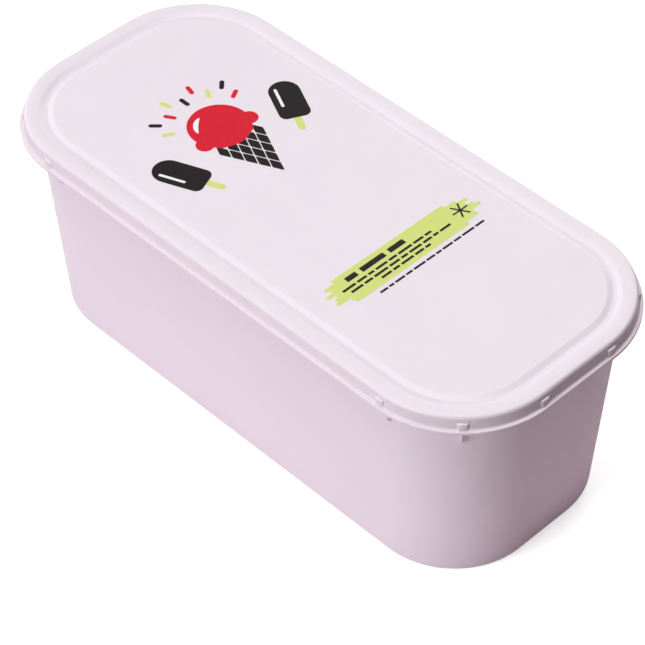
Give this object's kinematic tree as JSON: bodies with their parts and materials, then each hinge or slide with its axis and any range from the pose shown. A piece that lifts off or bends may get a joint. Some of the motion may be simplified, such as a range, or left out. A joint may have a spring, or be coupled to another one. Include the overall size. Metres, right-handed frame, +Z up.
{
  "type": "ice cream tub",
  "caption": "Long scooping tub of ice cream with round corners and tapered walls, shut with a shallow lid that has a sunk groove and a thin lip.",
  "frame": {"origin": "middle of the base, on the surface that the tub stands on", "axes": "+X along the tub's length, +Y across it, +Z up through the lid"},
  "size_m": [0.36, 0.165, 0.1314],
  "materials": {
    "tub_plastic": "satin injection moulded polypropylene, very pale lilac white",
    "lid_plastic": null
  },
  "bodies": {
    "root": {"tub": "tub_plastic", "lid": "lid_plastic"}
  },
  "joints": []
}
